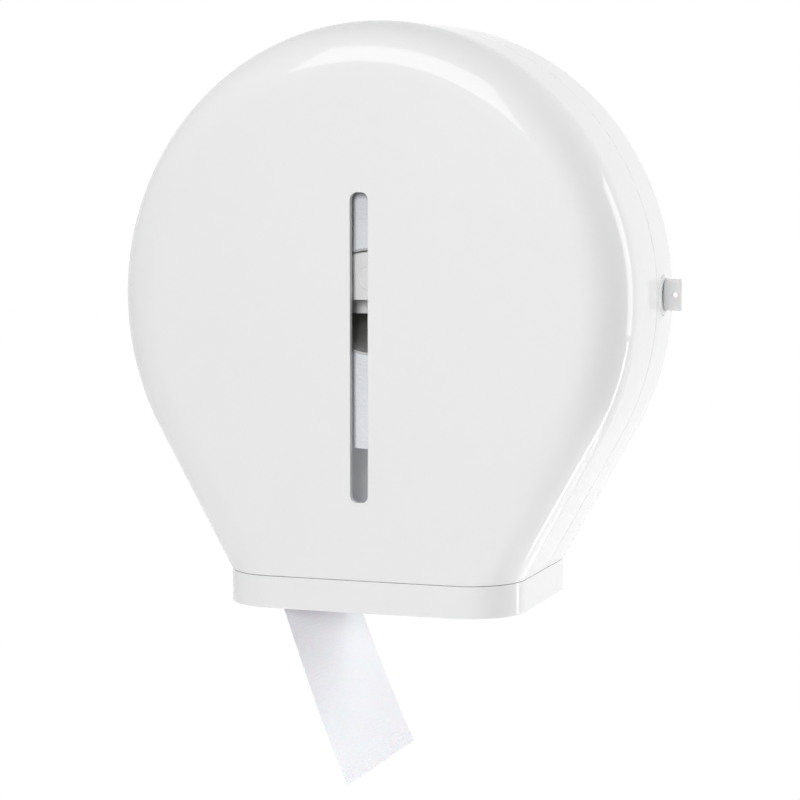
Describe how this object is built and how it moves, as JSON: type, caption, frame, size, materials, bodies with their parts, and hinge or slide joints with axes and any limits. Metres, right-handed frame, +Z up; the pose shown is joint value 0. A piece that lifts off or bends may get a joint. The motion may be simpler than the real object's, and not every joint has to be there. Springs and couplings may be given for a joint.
{
  "type": "jumbo toilet roll dispenser",
  "caption": "Wall dispenser for a jumbo toilet roll: round white shell on a straight base band, side-hinged cover with a window slot, sliding lock tab and hanging paper end.",
  "frame": {"origin": "centre of the wall screw pattern on the wall plane, which is the centre of the round part of the shell", "axes": "+Z up, +Y into the wall, front towards -Y, +X to the right seen from the front"},
  "size_m": [0.3257, 0.116, 0.4455],
  "materials": {
    "shell_plastic": "glossy moulded white",
    "inner_plastic": "plain moulded off-white",
    "tab_plastic": "satin light grey",
    "steel": "bright zinc and stainless",
    "tissue": "soft embossed two-ply paper",
    "roll_card": "plain grey card"
  },
  "bodies": {
    "case": {"rear_case": "shell_plastic", "base_band": "shell_plastic", "base_band_screws": "steel", "tear_bar_left": "steel", "tear_bar_right": "steel", "tear_bar_screws": "steel", "spindle": "inner_plastic", "spindle_cap": "inner_plastic", "spindle_screws": "steel", "spindle_cap_screws": "steel", "hinge_pin_upper": "steel", "hinge_pin_lower": "steel", "lock_guide": "inner_plastic", "lock_guide_screws": "steel", "lock_detent_spring": "steel", "paper_tail": "tissue"},
    "cover": {"front_cover": "shell_plastic", "cover_catch": "inner_plastic", "cover_catch_screws": "steel"},
    "lock": {"lock_tab": "tab_plastic"},
    "roll": {"roll_core": "roll_card", "roll_paper": "tissue"}
  },
  "joints": [
    {"name": "cover_hinge", "type": "hinge", "parent": "case", "child": "cover", "pos_m": [-0.157, -0.038, 0], "axis": [0, 0, -1], "range_deg": [0, 100]},
    {"name": "lock_slide", "type": "slide", "parent": "case", "child": "lock", "axis": [1, 0, 0], "range_m": [-0.009, 0]},
    {"name": "roll_spin", "type": "hinge", "parent": "case", "child": "roll", "pos_m": [0, 0, -0.001], "axis": [0, 1, 0], "continuous": true}
  ]
}
